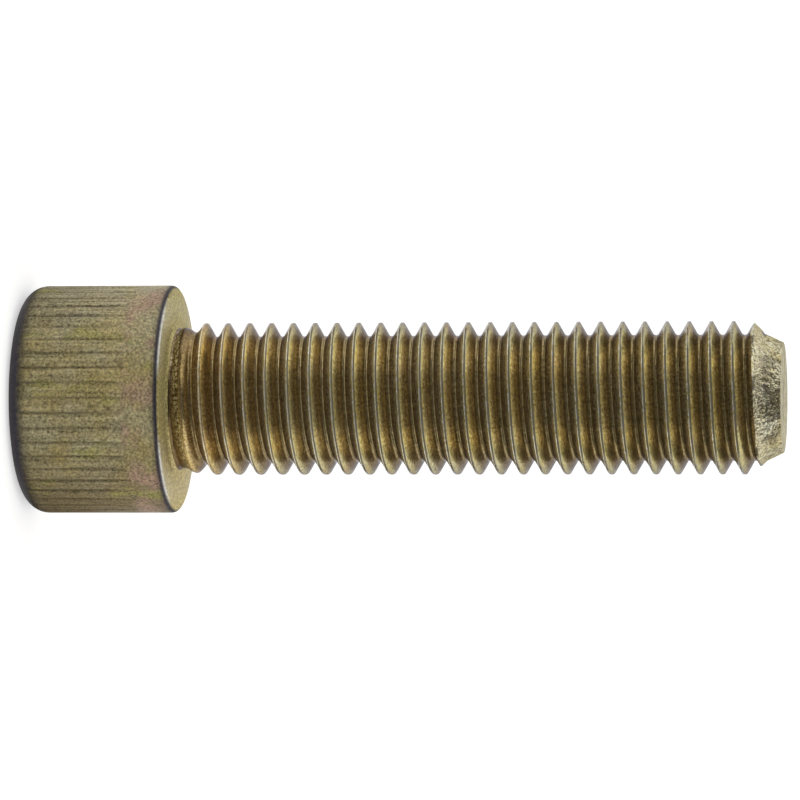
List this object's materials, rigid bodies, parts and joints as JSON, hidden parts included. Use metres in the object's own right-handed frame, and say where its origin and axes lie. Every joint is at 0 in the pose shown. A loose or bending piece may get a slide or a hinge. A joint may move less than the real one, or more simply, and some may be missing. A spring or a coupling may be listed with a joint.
{
  "type": "hex socket head cap screw",
  "caption": "Fully threaded metric cap screw with a cylindrical knurled head, a hexagonal socket and a chamfered point.",
  "frame": {"origin": "centre of the head's flat end, which the screw stands on", "axes": "+Z along the screw's axis from the head's flat end to the point, +Y square to two flats of the hex socket"},
  "size_m": [0.0207, 0.0206, 0.0691],
  "materials": {
    "zinc_plating": "yellow passivated zinc plating on steel, matt and grainy on the head, shinier on the thread and point"
  },
  "bodies": {
    "root": {"cap_screw": "zinc_plating"}
  },
  "joints": []
}
